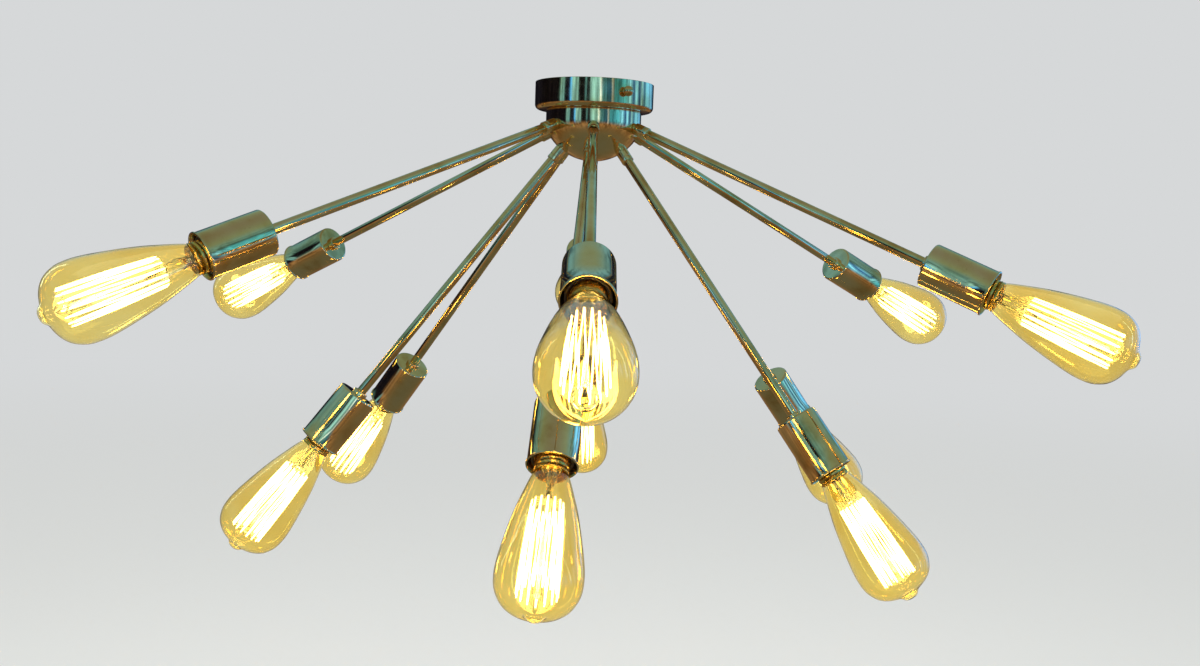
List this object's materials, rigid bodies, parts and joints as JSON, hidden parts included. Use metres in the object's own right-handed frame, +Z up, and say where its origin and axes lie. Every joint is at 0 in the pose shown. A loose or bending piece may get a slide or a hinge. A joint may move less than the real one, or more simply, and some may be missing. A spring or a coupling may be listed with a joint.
{
  "type": "multi arm chandelier",
  "caption": "Flush ceiling chandelier with two tiers of straight brass arms spreading from a bowl hub, each ending in a cup socket and a teardrop filament bulb.",
  "frame": {"origin": "centre of the ceiling face, in the plane of the canopy's open rim", "axes": "+Z up into the ceiling, -Y towards the front canopy screw"},
  "size_m": [0.9896, 0.871, 0.4535],
  "materials": {
    "polished_brass": "mirror polished and lacquered",
    "cap_brass": "bright rolled",
    "plated_steel": "zinc plated",
    "amber_glass": "blown, amber lustre coat",
    "dark_insulator": "moulded phenolic",
    "lead_insulation": "extruded, matt",
    "filament": "glowing carbon-style filament"
  },
  "bodies": {
    "fixture": {"canopy": "polished_brass", "hub_bowl": "polished_brass", "centre_nipple": "plated_steel", "locknuts": "plated_steel", "ceiling_strap": "plated_steel", "tube_collars": "polished_brass", "socket_bodies": "dark_insulator", "socket_contacts": "cap_brass", "lamp_leads": "lead_insulation", "junction_block": "dark_insulator", "arm_tube_upper_1": "polished_brass", "socket_cup_upper_1": "polished_brass", "arm_tube_upper_2": "polished_brass", "socket_cup_upper_2": "polished_brass", "arm_tube_upper_3": "polished_brass", "socket_cup_upper_3": "polished_brass", "arm_tube_upper_4": "polished_brass", "socket_cup_upper_4": "polished_brass", "arm_tube_upper_5": "polished_brass", "socket_cup_upper_5": "polished_brass", "arm_tube_upper_6": "polished_brass", "socket_cup_upper_6": "polished_brass", "arm_tube_lower_1": "polished_brass", "socket_cup_lower_1": "polished_brass", "arm_tube_lower_2": "polished_brass", "socket_cup_lower_2": "polished_brass", "arm_tube_lower_3": "polished_brass", "socket_cup_lower_3": "polished_brass", "arm_tube_lower_4": "polished_brass", "socket_cup_lower_4": "polished_brass", "arm_tube_lower_5": "polished_brass", "socket_cup_lower_5": "polished_brass", "arm_tube_lower_6": "polished_brass", "socket_cup_lower_6": "polished_brass"},
    "bulb_upper_1": {"bulb_cap_upper_1": "cap_brass", "bulb_glass_upper_1": "amber_glass"},
    "bulb_upper_2": {"bulb_cap_upper_2": "cap_brass", "bulb_glass_upper_2": "amber_glass"},
    "bulb_upper_3": {"bulb_cap_upper_3": "cap_brass", "bulb_glass_upper_3": "amber_glass"},
    "bulb_upper_4": {"bulb_cap_upper_4": "cap_brass", "bulb_glass_upper_4": "amber_glass"},
    "bulb_upper_5": {"bulb_cap_upper_5": "cap_brass", "bulb_glass_upper_5": "amber_glass"},
    "bulb_upper_6": {"bulb_cap_upper_6": "cap_brass", "bulb_glass_upper_6": "amber_glass"},
    "bulb_lower_1": {"bulb_cap_lower_1": "cap_brass", "bulb_glass_lower_1": "amber_glass"},
    "bulb_lower_2": {"bulb_cap_lower_2": "cap_brass", "bulb_glass_lower_2": "amber_glass"},
    "bulb_lower_3": {"bulb_cap_lower_3": "cap_brass", "bulb_glass_lower_3": "amber_glass"},
    "bulb_lower_4": {"bulb_cap_lower_4": "cap_brass", "bulb_glass_lower_4": "amber_glass"},
    "bulb_lower_5": {"bulb_cap_lower_5": "cap_brass", "bulb_glass_lower_5": "amber_glass"},
    "bulb_lower_6": {"bulb_cap_lower_6": "cap_brass", "bulb_glass_lower_6": "amber_glass"},
    "screw_front": {"canopy_screw_front": "polished_brass"},
    "screw_rear": {"canopy_screw_rear": "polished_brass"}
  },
  "joints": [
    {"name": "bulb_upper_1_unscrew", "type": "slide", "parent": "fixture", "child": "bulb_upper_1", "axis": [-0.4585, -0.7942, -0.3987], "range_m": [0, 0.028]},
    {"name": "bulb_upper_2_unscrew", "type": "slide", "parent": "fixture", "child": "bulb_upper_2", "axis": [0.4827, -0.7877, -0.3827], "range_m": [0, 0.028]},
    {"name": "bulb_upper_3_unscrew", "type": "slide", "parent": "fixture", "child": "bulb_upper_3", "axis": [0.9132, 0.0239, -0.4067], "range_m": [0, 0.028]},
    {"name": "bulb_upper_4_unscrew", "type": "slide", "parent": "fixture", "child": "bulb_upper_4", "axis": [0.4376, 0.8059, -0.3987], "range_m": [0, 0.028]},
    {"name": "bulb_upper_5_unscrew", "type": "slide", "parent": "fixture", "child": "bulb_upper_5", "axis": [-0.4654, 0.7902, -0.3987], "range_m": [0, 0.028]},
    {"name": "bulb_upper_6_unscrew", "type": "slide", "parent": "fixture", "child": "bulb_upper_6", "axis": [-0.9233, -0.138, -0.3584], "range_m": [0, 0.028]},
    {"name": "bulb_lower_1_unscrew", "type": "slide", "parent": "fixture", "child": "bulb_lower_1", "axis": [-0.397, -0.5776, -0.7133], "range_m": [0, 0.028]},
    {"name": "bulb_lower_2_unscrew", "type": "slide", "parent": "fixture", "child": "bulb_lower_2", "axis": [0.3018, -0.5445, -0.7826], "range_m": [0, 0.028]},
    {"name": "bulb_lower_3_unscrew", "type": "slide", "parent": "fixture", "child": "bulb_lower_3", "axis": [0.6494, -0.0057, -0.7604], "range_m": [0, 0.028]},
    {"name": "bulb_lower_4_unscrew", "type": "slide", "parent": "fixture", "child": "bulb_lower_4", "axis": [0.318, 0.5509, -0.7716], "range_m": [0, 0.028]},
    {"name": "bulb_lower_5_unscrew", "type": "slide", "parent": "fixture", "child": "bulb_lower_5", "axis": [-0.2745, 0.5886, -0.7604], "range_m": [0, 0.028]},
    {"name": "bulb_lower_6_unscrew", "type": "slide", "parent": "fixture", "child": "bulb_lower_6", "axis": [-0.5855, 0.1902, -0.788], "range_m": [0, 0.028]},
    {"name": "canopy_screw_front_turn", "type": "hinge", "parent": "fixture", "child": "screw_front", "pos_m": [0, -0.05715, -0.0115], "axis": [0, -1, 0], "continuous": true},
    {"name": "canopy_screw_rear_turn", "type": "hinge", "parent": "fixture", "child": "screw_rear", "pos_m": [0, 0.05715, -0.0115], "axis": [0, 1, 0], "continuous": true}
  ]
}
